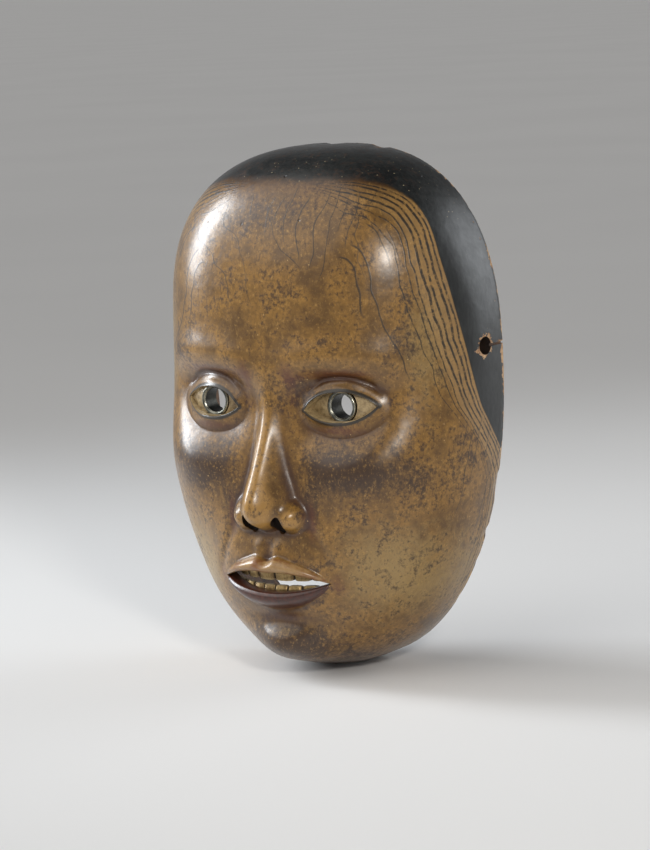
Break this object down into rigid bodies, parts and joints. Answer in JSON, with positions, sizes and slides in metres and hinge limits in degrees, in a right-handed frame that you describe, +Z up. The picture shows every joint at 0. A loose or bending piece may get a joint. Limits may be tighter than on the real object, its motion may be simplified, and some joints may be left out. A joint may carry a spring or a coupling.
{
  "type": "noh mask",
  "caption": "Carved and lacquered wooden face mask with metal-lined pupil holes, parted lips over gilt tooth plates, and a cord hole in each side.",
  "frame": {"origin": "centre of the flat back rim, at mid-height of the mask", "axes": "+Z up to the crown, +Y out of the hollow back towards the wearer, so the face looks along -Y"},
  "size_m": [0.146, 0.0785, 0.212],
  "materials": {
    "lacquered_wood": "satin brown-gold lacquer worn to the wood on the edges, black over the hair",
    "dark_metal": "dull grey, bright on its bevel",
    "gilt_copper": "worn gilding over copper, dark between the teeth",
    "copper_nail": "dull brown copper"
  },
  "bodies": {
    "root": {"mask_body": "lacquered_wood", "pupil_bush_left": "dark_metal", "pupil_bush_right": "dark_metal", "upper_teeth": "gilt_copper", "lower_teeth": "gilt_copper", "upper_teeth_nail_left": "copper_nail", "upper_teeth_nail_right": "copper_nail", "lower_teeth_nail_left": "copper_nail", "lower_teeth_nail_right": "copper_nail"}
  },
  "joints": []
}
